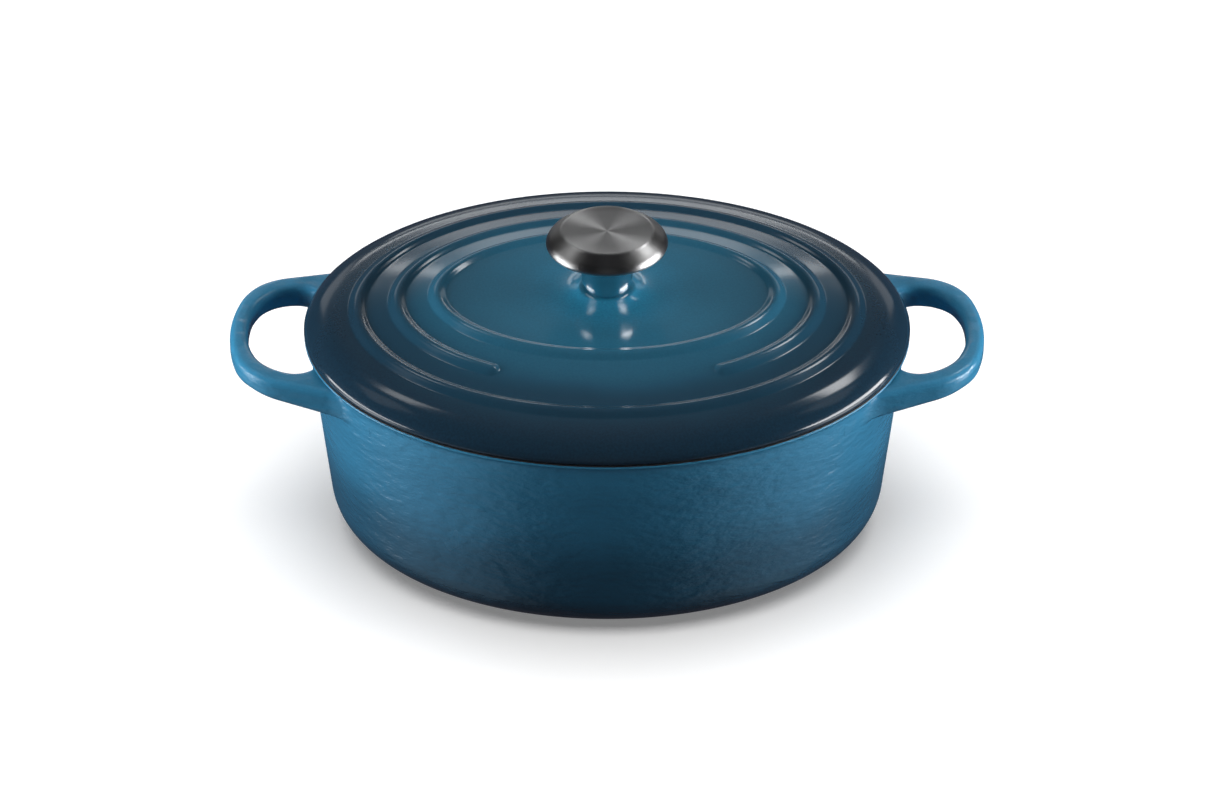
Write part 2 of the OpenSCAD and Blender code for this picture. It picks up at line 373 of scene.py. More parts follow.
def bar_top(x):
    """Height of the bar's top face, which dips slightly towards the wall."""
    return BAR_TOP - TOP_DIP * slope(x)


def bar_bottom(x):
    """Height of the bar's underside: the bar gets deeper towards the wall."""
    return BAR_BOTTOM - BOTTOM_DROP * slope(x)


def eased(t):
    """A smooth step from 0 to 1."""
    t = np.clip(t, 0, 1)
    return t * t * (3 - 2 * t)


def bar_distance(p):
    """Plan distance from points, given with y >= 0, to the handle's bar and leg."""
    from_corner = p - CORNER_CENTRE
    on_arc = np.hypot(*(p - ARC_CENTRE).T) - OUTER_ARC
    on_corner = np.hypot(*from_corner.T) - CORNER_ARC
    on_leg = p @ CORNER_END - LEG_FACE
    beside_arc = from_corner @ np.array([-CORNER_START[1], CORNER_START[0]]) < 0
    beside_leg = from_corner @ LEG_ALONG > 0
    outside = np.where(beside_leg, on_leg, np.where(beside_arc, on_arc, on_corner))
    width = BAR_WIDTH + (LEG_WIDTH - BAR_WIDTH) * eased((p[:, 1] - WIDENING_START) / WIDENING_LENGTH)
    return np.maximum(outside, -outside - width)


def wall_distance(p):
    """Plan distance from points to the rim's outline at the +X end, positive outside.
    Each point takes the nearest of many samples of the outline, a batch of points at a time."""
    a = np.linspace(-RIM_REACH, RIM_REACH, RIM_SAMPLES)
    samples = oval(0, a)
    normals = np.stack([np.cos(a), np.sin(a)], 1)
    result = np.empty(len(p))
    for start in range(0, len(p), BATCH):
        part = p[start : start + BATCH]
        gap = part[:, None, :] - samples[None, :, :]
        nearest = np.argmin((gap**2).sum(2), 1)
        result[start : start + BATCH] = ((part - samples[nearest]) * normals[nearest]).sum(1)
    return result


def wall_circle(inset, facing):
    """Centre and radius of the circle that hugs the oval where it faces a direction."""
    normal = np.array([math.cos(facing), math.sin(facing)])
    reach = math.hypot(HALF_LENGTH * normal[0], HALF_WIDTH * normal[1])
    bend = HALF_LENGTH**2 * HALF_WIDTH**2 / reach**3
    on_rim = oval(0, np.array([facing]))[0]
    return on_rim - bend * normal, bend - inset


def fillet_distance(p, wall, side, radius, inset):
    """Plan distance to the round fillet between the leg and the wall, and FAR outside that corner.
    Side is 1 for the leg's outer side and -1 for its inner side."""
    centre, bend = wall_circle(inset, OUTER_FACING if side > 0 else CROTCH_FACING)
    face = LEG_FACE if side > 0 else LEG_FACE - LEG_WIDTH
    start = CORNER_CENTRE + (face + side * radius - CORNER_CENTRE @ CORNER_END) * CORNER_END
    q = start - centre
    along = q @ LEG_ALONG
    c = start + (-along - math.sqrt(along**2 - q @ q + (bend + radius) ** 2)) * LEG_ALONG
    to_leg = -side * CORNER_END
    to_wall = (centre - c) / np.linalg.norm(centre - c)
    v = p - c
    middle = to_leg + to_wall
    half = math.acos(np.clip(to_leg @ to_wall, -1, 1)) / 2
    far = np.hypot(*v.T)
    in_sector = (v @ middle) > far * np.linalg.norm(middle) * math.cos(half)
    in_corner = (side * (p @ CORNER_END - LEG_FACE + LEG_WIDTH / 2) > 0) & (wall > -ROOT_DEPTH)
    return np.where(in_sector & in_corner, radius - far, FAR)


def soft_union(a, b, reach):
    """The smaller of two distances, rounded where they are nearly equal."""
    h = np.maximum(reach - np.abs(a - b), 0) / reach
    return np.minimum(a, b) - h * h * reach / 4


class HandleField:
    """Distance to the right-hand handle with its crease into the wall, tabled in plan for speed."""

    def __init__(self):
        low, high = np.array(FIELD_LOW) - FIELD_EDGE, np.array(FIELD_HIGH) + FIELD_EDGE
        self.x = np.arange(low[0], high[0] + CELL / 2, CELL / 2)
        self.y = np.arange(low[1], high[1] + CELL / 2, CELL / 2)
        gx, gy = np.meshgrid(self.x, self.y, indexing="ij")
        self.plan = np.stack([gx.ravel(), gy.ravel()], 1)
        self.rim = wall_distance(self.plan)
        folded = self.plan * [1, 0] + np.abs(self.plan) * [0, 1]
        bar = bar_distance(folded)
        sink = wall_inset(ROOT_HEIGHT) + ROOT_SINK
        outer = fillet_distance(folded, self.rim + sink, 1, FLARE_RADIUS, sink)
        crotch = fillet_distance(folded, self.rim + sink, -1, CROTCH_RADIUS, sink)
        metal = np.minimum(np.minimum(bar, outer), crotch)
        self.bar = np.minimum(metal, self.rim + sink).reshape(gx.shape)
        self.rim = self.rim.reshape(gx.shape)

    def table(self, grid, p):
        """Bilinear value of a plan table at points."""
        fx = np.clip((p[:, 0] - self.x[0]) / (self.x[1] - self.x[0]), 0, len(self.x) - 1.001)
        fy = np.clip((p[:, 1] - self.y[0]) / (self.y[1] - self.y[0]), 0, len(self.y) - 1.001)
        i, j = fx.astype(int), fy.astype(int)
        u, v = fx - i, fy - j
        low = grid[i, j] * (1 - v) + grid[i, j + 1] * v
        high = grid[i + 1, j] * (1 - v) + grid[i + 1, j + 1] * v
        return low * (1 - u) + high * u

    def __call__(self, p):
        """Distance from points in space to the handle's surface, negative inside."""
        top, bottom = bar_top(p[:, 0]), bar_bottom(p[:, 0])
        rise = np.abs(p[:, 2] - (top + bottom) / 2) - (top - bottom) / 2 + BAR_ROUND
        across = self.table(self.bar, p) + BAR_ROUND
        beyond = np.hypot(np.maximum(rise, 0), np.maximum(across, 0))
        bar = beyond + np.minimum(np.maximum(rise, across), 0) - BAR_ROUND
        wall = (self.table(self.rim, p) + wall_inset(p[:, 2])) * math.cos(WALL_DRAFT) + SKIN_SINK
        whole = soft_union(bar, wall, CREASE)
        return np.maximum(np.maximum(whole, bar - ROOT_SPREAD), -wall - ROOT_DEPTH)


def surface_net(field, low, high, cell):
    """A quad mesh of the surface where the field is zero, one vertex in each cell that it crosses."""
    axes = [np.arange(l, h + cell, cell) for l, h in zip(low, high)]
    shape = tuple(len(axis) for axis in axes)
    grid = np.stack(np.meshgrid(*axes, indexing="ij"), -1).reshape(-1, 3)
    value = field(grid).reshape(shape)
    nx, ny, nz = shape
    total = np.zeros((nx - 1, ny - 1, nz - 1, 3))
    hits = np.zeros((nx - 1, ny - 1, nz - 1))
    corners = [(i, j, k) for i in (0, 1) for j in (0, 1) for k in (0, 1)]

    def at(c):
        """The field at one corner of every cell."""
        return value[c[0] : nx - 1 + c[0], c[1] : ny - 1 + c[1], c[2] : nz - 1 + c[2]]

    for c in corners:
        for axis in range(3):
            if c[axis] == 1:
                continue
            d = tuple(v + (1 if n == axis else 0) for n, v in enumerate(c))
            a, b = at(c), at(d)
            crossed = (a < 0) != (b < 0)
            t = np.where(crossed, a / np.where(crossed, a - b, 1), 0)
            for n in range(3):
                offset = c[n] + (t if n == axis else 0)
                total[..., n] += np.where(crossed, offset, 0)
            hits += crossed
    used = hits > 0
    index = np.full(used.shape, -1)
    index[used] = np.arange(used.sum())
    places = np.argwhere(used) + total[used] / hits[used][:, None]
    points = np.array(low) + cell * places
    faces = []
    inside = value < 0
    for axis in range(3):
        step = [0, 0, 0]
        step[axis] = 1
        near = inside[: nx - step[0], : ny - step[1], : nz - step[2]]
        far = inside[step[0] :, step[1] :, step[2] :]
        u, v = [n for n in range(3) if n != axis]
        edges = np.argwhere(near != far)
        edges = edges[(edges[:, u] > 0) & (edges[:, v] > 0)]
        edges = edges[(edges[:, u] < shape[u] - 1) & (edges[:, v] < shape[v] - 1)]
        du, dv = np.eye(3, dtype=int)[u], np.eye(3, dtype=int)[v]
        around = [edges - du - dv, edges - dv, edges, edges - du]
        quad = np.stack([index[tuple(e.T)] for e in around], 1)
        outward = near[tuple(edges.T)] == (axis != 1)
        quad[~outward] = quad[~outward][:, ::-1]
        faces.append(quad)
    return points, np.vstack(faces)


def settled(field, points, rounds=3, probe=0.05):
    """The points moved along the field's steepest line onto its zero surface."""
    for _ in range(rounds):
        value = field(points)
        rises = [field(points + probe * axis) - field(points - probe * axis) for axis in np.eye(3)]
        steepest = np.stack(rises, 1) / (2 * probe)
        size = np.maximum((steepest**2).sum(1), 0.2)
        points = points - (value / size)[:, None] * steepest
    return points


def handle():
    """The right-hand handle."""
    field = HandleField()
    points, faces = surface_net(field, FIELD_LOW, FIELD_HIGH, CELL)
    return settled(field, points), faces.tolist()


# ---- Lid ----

# Profiles from the seat outwards and up to the panel, and from the skirt in to the panel's underside
LID_EDGE = [
    (2.4, 108.62), (1.75, 108.64), (1.1, 108.84), (0.65, 109.3), (0.45, 110.0), (0.5, 110.7),
    (0.75, 111.4), (1.15, 112.1), (1.65, 112.8), (2.3, 113.5),
]
LID_TOP = [
    (2.3, 113.5), (3.0, 114.2), (3.9, 114.95), (5.3, 115.95), (7.2, 117.15), (9.5, 118.2), (12.2, 119.1),
    (15.5, 119.75), (19, 120.15), (22.5, 120.5), (26.4, 121.0), (36, 122.8), (45.6, 124.6), (56, 126.6),
    (63, 127.9), (68, 128.55), (CORE_INSET, PANEL_HEIGHT),
]
LID_UNDER = [
    (12.4, 110.6), (13, 112.4), (14.6, 113.9), (18, 115.3), (26.4, 116.9), (45.6, 120.7), (62, 124.0),
    (68, 124.7), (CORE_INSET, PANEL_UNDER),
]
LID_SKIRT = [
    (12.4, 105), (12.2, 104.4), (11.6, 104.1), (10.2, 104.1), (9.6, 104.4), (9.4, 105), (9.4, 108.4),
]
BOSS = [
    (30, 128.7), (27, 128.78), (23, 129.1), (20, 129.6), (17.4, 130.3), (15.4, 131.05), (14.0, 131.75),
    (13.4, 131.98), (12.8, BOSS_HEIGHT),
]


def ring_end():
    """Plan point where the middle ring ends, on the +X side of the front, and its direction."""
    a = np.linspace(-math.pi / 2, -math.pi / 4, 2000)
    line = oval(RING_INSETS[1], a)
    i = np.argmin(np.abs(line[:, 0] - RING_GAP))
    return line[i], a[i]


def lid_directions():
    """Directions round the lid, closer together at the ends of the middle ring."""
    _, at = ring_end()
    zones = [at, -math.pi - at]
    reach = math.radians(2.6)
    a = np.linspace(-math.pi, math.pi, 560, endpoint=False)
    kept = [v for v in a if all(abs(v - zone) > reach for zone in zones)]
    fine = [np.linspace(zone - reach, zone + reach, 31) for zone in zones]
    return np.sort(np.concatenate([kept] + fine))


def ridge(distance):
    """Height of a raised ring at a distance from its middle line."""
    t = np.clip(1 - (distance / RING_HALF_WIDTH) ** 2, 0, 1)
    return RING_HEIGHT * t**1.5


def lid_row(inset, height, a):
    """One ring of vertices of the lid's top, raised where it crosses the three rings."""
    row = oval_row(inset, height, a)
    for number, ring in enumerate(RING_INSETS):
        distance = np.full(len(a), abs(inset - ring))
        if number == 1:
            end, at = ring_end()
            gap = np.abs(a + math.pi / 2) < abs(at + math.pi / 2)
            to_end = np.hypot(np.abs(row[:, 0]) - end[0], row[:, 1] - end[1])
            distance = np.where(gap, to_end, distance)
        row[:, 2] += ridge(distance)
    return row


def lid_insets():
    """Insets of the vertex rings on the lid's top, closer together on the raised rings."""
    near = RING_HALF_WIDTH + 0.4
    rings = [np.linspace(r - near, r + near, 21) for r in RING_INSETS]
    plain = [np.linspace(LID_TOP[0][0], RING_INSETS[0] - near, 24, endpoint=False)]
    for r, n in zip(RING_INSETS, RING_INSETS[1:]):
        plain.append(np.linspace(r + near, n - near, 8)[1:-1])
    plain.append(np.linspace(RING_INSETS[2] + near, CORE_INSET, 4)[1:])
    return np.sort(np.concatenate(rings + plain))


def lid_body():
    """The lid's casting: over the edge and the top to the screw hole and back along the underside."""
    a = lid_directions()
    top_line = curve_through(LID_TOP, 0.5)
    insets = lid_insets()
    heights = np.interp(insets, top_line[:, 0], top_line[:, 1])
    edge = [oval_row(q, z, a) for q, z in curve_through(LID_EDGE, 0.35)[:-1]]
    top = [lid_row(q, z, a) for q, z in zip(insets, heights)]
    panel = core_rows(BOSS[0][0], PANEL_HEIGHT, a, 5)
    boss = [round_row(r, z, a) for r, z in curve_through(BOSS, 0.7)]
    hole = [round_row(SCREW_HOLE, z, a) for z in (BOSS_HEIGHT, PANEL_UNDER)]
    under = core_rows(SCREW_HOLE, PANEL_UNDER, a, 6)[::-1]
    inner = [oval_row(q, z, a) for q, z in curve_through(LID_UNDER, 2.5)[::-1]]
    skirt = [oval_row(q, z, a) for q, z in curve_through(LID_SKIRT, 0.6)]
    seat = [oval_row(q, SEAT_HEIGHT, a) for q in (9.2, 6, 3)]
    return skin(edge + top + panel + boss + hole + under + inner + skirt + seat, loop=True)


def lid_lining():
    """Thin light enamel under the lid, inside the skirt."""
    a = POT_DIRECTIONS
    under = curve_through(LID_UNDER, 2.5)
    lower = under + [LINING, -LINING]
    lower[0] = (LID_UNDER[0][0] + LINING, LID_UNDER[0][1])
    upper_rows = [oval_row(q, z, a) for q, z in under]
    lower_rows = [oval_row(q, z, a) for q, z in lower[::-1]]
    height = PANEL_UNDER - LINING
    top_core = core_rows(SCREW_HOLE, PANEL_UNDER, a, 6) + [round_row(SCREW_HOLE, PANEL_UNDER, a)]
    low_core = [round_row(SCREW_HOLE, height, a)] + core_rows(SCREW_HOLE, height, a, 6)[::-1]
    return skin((upper_rows + top_core + low_core + lower_rows)[::-1], loop=True)


def lid_rim_coat():
    """Thin dark enamel on the lid's seat."""
    low = SEAT_HEIGHT - RIM_COAT
    line = [
        (9.4, SEAT_HEIGHT), (9.4, low + 0.1), (9.2, low), (6, low), (3, low), (2.6, low + 0.05),
        (2.4, SEAT_HEIGHT),
    ]
    return skin([oval_row(q, z, POT_DIRECTIONS) for q, z in line[::-1]], loop=True)


# ---- Knob ----

KNOB_DIRECTIONS = np.linspace(0, 2 * math.pi, 256, endpoint=False)
CAP_TOP = 163.4
CAP_UNDER = 161.4

# The stem stays clear of the boss by a hair, and the small parts inside have slightly worn edges
STEM_GAP = 0.02
SMALL_BEVEL = 0.25


def lathe(line, loop=True, start=None, end=None):
    """A profile of (radius, height) turned round the Z axis."""
    return skin([round_row(r, z, KNOB_DIRECTIONS) for r, z in line], loop=loop, start=start, end=end)


def knob_cap():
    """Brushed head: slightly dished top, bevel, rounded edge and a hollow underside."""
    top = [(3, CAP_TOP), (10, 163.44), (16, 163.54), (20, 163.7), (21.4, 163.82), (22.2, 163.72)]
    bevel = [
        (22.2, 163.72), (22.7, 163.45), (24.3, 162.35), (26.1, 161.1), (27.6, 159.9), (28.5, 158.7),
        (29.05, 157.6),
    ]
    edge = [(29.05, 157.6), (29.2, 156.9), (28.9, 156.1), (28.3, 155.6), (27.6, 155.42), (27.05, 155.42)]
    hollow = [(27.05, 157.4), (26.2, 159.2), (22.4, 161.4), (18, 161.5), (3, CAP_UNDER)]
    line = np.vstack([
        curve_through(top, 0.8)[:-1],
        curve_through(bevel, 0.5)[:-1],
        curve_through(edge, 0.4),
        curve_through(hollow, 1.5),
    ])
    return lathe(line[::-1], loop=False, start=CAP_UNDER, end=CAP_TOP)


def knob_stem():
    """Polished stem: a cone from the lid that opens into the dish under the head."""
    foot = BOSS_HEIGHT + STEM_GAP
    outside = [
        (10.9, foot), (11.3, 132.3), (11.5, 132.9), (11.9, 135.5), (12.5, 139.5), (13.1, 143.6),
        (13.8, 147), (15.2, 149.4), (18.5, 151.6), (22, 153.1), (25, 154.4), (26.6, 155.2),
        (26.95, 155.6),
    ]
    inside = [
        (26.9, 157), (25.4, 156.5), (21, 154.8), (17.6, 153.5), (14, 151.5), (12.4, 148.05),
        (6.05, 148.02),
    ]
    return lathe(np.vstack([curve_through(outside, 0.7), curve_through(inside, 1.5), [(6.05, foot)]]))


# ---- Materials ----


def new_material(name):
    """An empty node material with a Principled shader, and its node tree."""
    material = bpy.data.materials.new(name)
    material.use_nodes = True
    return material, Tree(material.node_tree)


class Tree:
    """Short names for building a node tree."""

    def __init__(self, tree):
        self.tree = tree
        self.shader = tree.nodes.get("Principled BSDF")

    def node(self, kind, **settings):
        """A new node. Names with a capital set its inputs, the others its own properties."""
        made = self.tree.nodes.new(kind)
        for key, value in settings.items():
            if key[0].isupper():
                made.inputs[key.replace("_", " ")].default_value = value
            else:
                setattr(made, key, value)
        return made

    def link(self, source, target):
        """Joins an output to an input."""
        self.tree.links.new(source, target)

    def place(self):
        """Position in the object's own metres."""
        return self.node("ShaderNodeTexCoord").outputs["Object"]

    def scaled(self, vector, scale):
        """A vector with each axis multiplied by its own scale."""
        made = self.node("ShaderNodeVectorMath", operation="MULTIPLY")
        self.link(vector, made.inputs[0])
        made.inputs[1].default_value = scale
        return made.outputs[0]

    def parts(self, vector):
        """The X, Y and Z of a vector."""
        made = self.node("ShaderNodeSeparateXYZ")
        self.link(vector, made.inputs[0])
        return made.outputs["X"], made.outputs["Y"], made.outputs["Z"]

    def length(self, vector):
        """The length of a vector."""
        made = self.node("ShaderNodeVectorMath", operation="LENGTH")
        self.link(vector, made.inputs[0])
        return made.outputs["Value"]

    def towards(self, vector, direction):
        """How much a vector points in a fixed direction: their dot product."""
        made = self.node("ShaderNodeVectorMath", operation="DOT_PRODUCT")
        self.link(vector, made.inputs[0])
        made.inputs[1].default_value = direction
        return made.outputs["Value"]

    def noise(self, vector, scale, detail=2.0, roughness=0.5):
        """Cloudy noise from 0 to 1. Scale is in patches per metre."""
        made = self.node("ShaderNodeTexNoise", Scale=scale, Detail=detail, Roughness=roughness)
        self.link(vector, made.inputs["Vector"])
        return made.outputs["Fac"]

    def math(self, operation, a, b=None):
        """A math node on sockets or plain numbers."""
        made = self.node("ShaderNodeMath", operation=operation)
        for socket, value in zip(made.inputs, (a, b)):
            if value is None:
                continue
            if isinstance(value, (int, float)):
                socket.default_value = value
            else:
                self.link(value, socket)
        return made.outputs[0]

    def remap(self, value, low, high, to_low, to_high):
        """A value moved from one range to another and held inside it."""
        made = self.node("ShaderNodeMapRange")
        self.link(value, made.inputs["Value"])
        ends = {"From Min": low, "From Max": high, "To Min": to_low, "To Max": to_high}
        for key, number in ends.items():
            made.inputs[key].default_value = number
        return made.outputs["Result"]

    def ramp(self, value, stops):
        """A colour ramp with (position, colour) stops."""
        made = self.node("ShaderNodeValToRGB")
        made.color_ramp.interpolation = "EASE"
        points = made.color_ramp.elements
        while len(points) < len(stops):
            points.new(0.5)
        for point, (at, colour) in zip(points, stops):
            point.position = at
            point.color = (*colour, 1)
        self.link(value, made.inputs[0])
        return made.outputs["Color"]

    def mix(self, factor, a, b, blend="MIX"):
        """Two colours mixed."""
        made = self.node("ShaderNodeMix", data_type="RGBA", blend_type=blend)
        for socket, value in ((made.inputs[0], factor), (made.inputs[6], a), (made.inputs[7], b)):
            if isinstance(value, (int, float)):
                socket.default_value = value
            elif isinstance(value, tuple):
                socket.default_value = (*value, 1)
            else:
                self.link(value, socket)
        return made.outputs[2]

    def bump(self, height, distance, strength=1.0, normal=None):
        """A normal from a height. Distance is the depth in metres."""
        made = self.node("ShaderNodeBump", Strength=strength, Distance=distance)
        self.link(height, made.inputs["Height"])
        if normal is not None:
            self.link(normal, made.inputs["Normal"])
        return made.outputs["Normal"]

    def finish(self, **inputs):
        """Sets or links the shader's inputs."""
        for key, value in inputs.items():
            socket = self.shader.inputs[key.replace("_", " ")]
            if isinstance(value, (int, float, tuple)):
                socket.default_value = value
            else:
                self.link(value, socket)


def pot_enamel():
    """Glossy blue enamel, darker towards the base, over the slight ripple of the sand casting.
    The darkening is partly the enamel's own graded colour and partly painted shade near the base.
    """
    material, t = new_material("pot_enamel")
    place = t.place()
    _, _, z = t.parts(place)
    cloud = t.noise(place, 18, 3)
    height = t.math("ADD", z, t.remap(cloud, 0, 1, -0.012, 0.012))
    # Partly painted shade: the enamel's own graded colour, darkened further towards the base to stand in
    # for the shade near the floor.
    shade = t.ramp(t.remap(height, 0, 0.11, 0, 1), [
        (0.0, (0.005, 0.016, 0.028)),
        (0.3, (0.014, 0.068, 0.122)),
        (0.7, (0.028, 0.160, 0.285)),
        (1.0, (0.036, 0.205, 0.360)),
    ])
    speck = t.noise(place, 900, 2)
    colour = t.mix(t.remap(speck, 0.3, 0.7, 0, 0.12), shade, (0.012, 0.07, 0.12))
    ripple = t.noise(t.scaled(place, (1, 1, 2.4)), 130, 3, 0.5)
    wave = t.noise(t.scaled(place, (1, 1, 1.6)), 48, 2)
    t.finish(
        Base_Color=colour,
        Roughness=t.remap(cloud, 0, 1, 0.2, 0.3),
        Normal=t.bump(ripple, 0.0007, 0.9, t.bump(wave, 0.001, 0.7)),
        Specular_IOR_Level=0.5,
    )
    return material


def lid_enamel():
    """The same enamel on the lid: dark at the edge and bluer towards the middle."""
    material, t = new_material("lid_enamel")
    place = t.place()
    out = t.length(t.scaled(place, (1 / (HALF_LENGTH * MM), 1 / (HALF_WIDTH * MM), 0)))
    cloud = t.noise(place, 16, 3)
    reach = t.math("ADD", out, t.remap(cloud, 0, 1, -0.06, 0.06))
    shade = t.ramp(reach, [
        (0.10, (0.026, 0.220, 0.370)),
        (0.34, (0.022, 0.125, 0.205)),
        (0.54, (0.020, 0.100, 0.165)),
        (0.74, (0.012, 0.043, 0.073)),
        (0.92, (0.009, 0.023, 0.040)),
    ])
    speck = t.noise(place, 900, 2)
    colour = t.mix(t.remap(speck, 0.3, 0.7, 0, 0.25), shade, (0.012, 0.05, 0.09))
    ripple = t.noise(place, 130, 2)
    t.finish(
        Base_Color=colour,
        Roughness=t.remap(cloud, 0, 1, 0.1, 0.18),
        Normal=t.bump(ripple, 0.000006, 0.5),
        Specular_IOR_Level=0.5,
    )
    return material


def lining_enamel():
    """Sand-coloured glossy enamel with faint cooking tone."""
    material, t = new_material("lining_enamel")
    place = t.place()
    cloud = t.noise(place, 14, 4)
    colour = t.mix(t.remap(cloud, 0.3, 0.7, 0, 1), (0.76, 0.70, 0.56), (0.70, 0.62, 0.47))
    t.finish(
        Base_Color=colour,
        Roughness=t.remap(cloud, 0, 1, 0.16, 0.3),
        Normal=t.bump(t.noise(place, 90, 3), 0.0002, 0.6),
        Coat_Weight=0.3,
        Coat_Roughness=0.06,
    )
    return material


def rim_enamel():
    """Dark satin enamel of the two rims."""
    material, t = new_material("rim_enamel")
    place = t.place()
    cloud = t.noise(place, 60, 4)
    colour = t.mix(cloud, (0.018, 0.020, 0.024), (0.040, 0.043, 0.048))
    t.finish(
        Base_Color=colour,
        Roughness=t.remap(cloud, 0, 1, 0.34, 0.55),
        Normal=t.bump(t.noise(place, 500, 3), 0.0001, 0.6),
    )
    return material


def steel(name, tone, low, high, groove, fan):
    """Steel turned on a lathe. Low and high are the roughness, groove the depth of the fine rings in
    metres, and fan how far the rings spread the light outwards. The tone has four pale fans of
    painted highlight, standing in for the crossed highlights of turned steel."""
    material, t = new_material(name)
    place = t.place()
    x, y, z = t.parts(place)
    radius = t.math("ADD", t.length(t.scaled(place, (1, 1, 0))), t.math("MULTIPLY", z, -1.3))
    line = t.node("ShaderNodeCombineXYZ")
    t.link(radius, line.inputs["X"])
    rings = t.noise(line.outputs[0], 9000, 3, 0.6)
    cloud = t.noise(place, 120, 3)
    around = t.math("ARCTAN2", y, x)
    # Painted highlight: the tone is paler in four fans round the axis, standing in for the crossed
    # highlights of turned steel.
    fans = t.remap(t.math("COSINE", t.math("MULTIPLY", around, 4)), -1, 0.6, 1, 0)
    painted_highlight_fans = t.mix(fans, tuple(0.7 * v for v in tone), tuple(1.4 * v for v in tone))
    colour = t.mix(rings, painted_highlight_fans, tone)
    tangent = t.node("ShaderNodeTangent", direction_type="RADIAL", axis="Z")
    t.finish(
        Base_Color=colour,
        Metallic=1.0,
        Roughness=t.remap(t.math("ADD", cloud, t.math("MULTIPLY", rings, 0.5)), 0.2, 1.2, low, high),
        Normal=t.bump(rings, groove, 0.6),
        Anisotropic=fan,
        Anisotropic_Rotation=0.25,
        Tangent=tangent.outputs[0],
    )
    return material


def plain_metal(name, tone, low, high):
    """Machined metal with slight wear, for the small parts inside the knob. Low and high are the
    roughness."""
    material, t = new_material(name)
    place = t.place()
    cloud = t.noise(place, 200, 4)
    colour = t.mix(cloud, tuple(0.8 * v for v in tone), tone)
    t.finish(
        Base_Color=colour,
        Metallic=1.0,
        Roughness=t.remap(cloud, 0.2, 0.8, low, high),
        Normal=t.bump(t.noise(place, 1500, 2), 0.00005, 0.5),
    )
    return material


# ---- Assembly ----


def build_pot():
    """The pot's casting with both handles, its lining and its dark rim."""
    right = handle()
    casting = joined(pot_body(), right, mirrored(right))
    piece("pot_shell", casting, "pot", "enamelled_iron", pot_enamel(), "pot_casting")
    piece("pot_inside", pot_lining(), "pot", "lining_enamel", lining_enamel(), "pot_lining")
    piece("pot_rim", pot_rim_coat(), "pot", "rim_enamel", rim_enamel(), "pot_rim_coat")


def build_lid():
    """The lid's casting, its lining and its dark seat."""
    piece("lid_shell", lid_body(), "lid", "enamelled_iron", lid_enamel(), "lid_casting")
    piece("lid_inside", lid_lining(), "lid", "lining_enamel", lining_enamel(), "lid_lining")
    piece("lid_rim", lid_rim_coat(), "lid", "rim_enamel", rim_enamel(), "lid_rim_coat")


def build_knob():
    """The steel head and stem, and the CAD shapes of the small parts inside with softened edges."""
    brushed = steel("brushed_steel", (0.47, 0.47, 0.47), 0.28, 0.42, 0.00003, 0.75)
    polished = steel("polished_steel", (0.70, 0.71, 0.73), 0.1, 0.2, 0.000003, 0.3)
    piece("knob_head", knob_cap(), "lid", "brushed_steel", brushed, "knob_cap")
    piece("knob_collar", knob_stem(), "lid", "polished_steel", polished, "knob_stem")
    brass = plain_metal("brass_bush", (0.66, 0.50, 0.24), 0.25, 0.4)
    screw = plain_metal("screw_steel", (0.58, 0.59, 0.60), 0.28, 0.45)
    for name, material, slot in (
        ("knob_bush", brass, "brass_bush"),
        ("knob_screw", screw, "screw_steel"),
        ("knob_washer", screw, "screw_steel"),
    ):
        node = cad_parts[name]
        node.data.materials.clear()
        node.data.materials.append(material)
        edge = node.modifiers.new("edge", "BEVEL")
        edge.width = SMALL_BEVEL * MM
        edge.segments = 2
        edge.limit_method = "ANGLE"


# ---- Floor, light and camera ----


# Places and sizes are in metres and powers in watts from here on.

FLOOR_REACH = 6.0
FLOOR_GLOW = 0.2
POT_MIDDLE = Vector((0, 0, 0.08))

# Directions from the pot to the pale patches of table on its right, which are mirrored on its left
TABLE_PATCH = (0.68, -0.25, -0.69)
TABLE_SIDE = (0.968, -0.1, -0.23)
WORLD_STRENGTH = 1.6


def build_floor():
    """A plain white floor that takes the pot's shadow and gives no light back to it."""
    r = FLOOR_REACH
    mesh = bpy.data.meshes.new("floor")
    mesh.from_pydata([(-r, -r, 0), (r, -r, 0), (r, r, 0), (-r, r, 0)], [], [(0, 1, 2, 3)])
    material, t = new_material("floor_white")
    cloud = t.noise(t.place(), 3, 2)
    t.finish(
        Base_Color=t.mix(cloud, (0.86, 0.86, 0.86), (0.88, 0.88, 0.88)),
        Roughness=0.8,
        Specular_IOR_Level=0.1,
        Emission_Color=(1, 1, 1, 1),
        Emission_Strength=FLOOR_GLOW,
    )
    mesh.materials.append(material)
    floor = bpy.data.objects.new("floor", mesh)
    floor.visible_diffuse = False
    floor.visible_glossy = False
    bpy.context.scene.collection.objects.link(floor)


def dark_sky(t, aside, y, z):
    """The studio above the horizon: palest low down behind the pot."""
    rise = t.ramp(z, [
        (0.05, (0.10, 0.10, 0.10)),
        (0.18, (0.09, 0.09, 0.095)),
        (0.42, (0.22, 0.22, 0.22)),
        (0.55, (0.08, 0.085, 0.09)),
        (1.0, (0.05, 0.05, 0.055)),
    ])
    centre = t.ramp(aside, [
        (0.0, (1, 1, 1)),
        (0.16, (0.7, 0.7, 0.7)),
        (0.34, (0.26, 0.26, 0.26)),
        (0.60, (0.08, 0.08, 0.08)),
    ])
    back = t.remap(y, 0, 0.3, 0.4, 1)
    return t.mix(1.0, t.mix(1.0, rise, centre, "MULTIPLY"), back, "MULTIPLY")


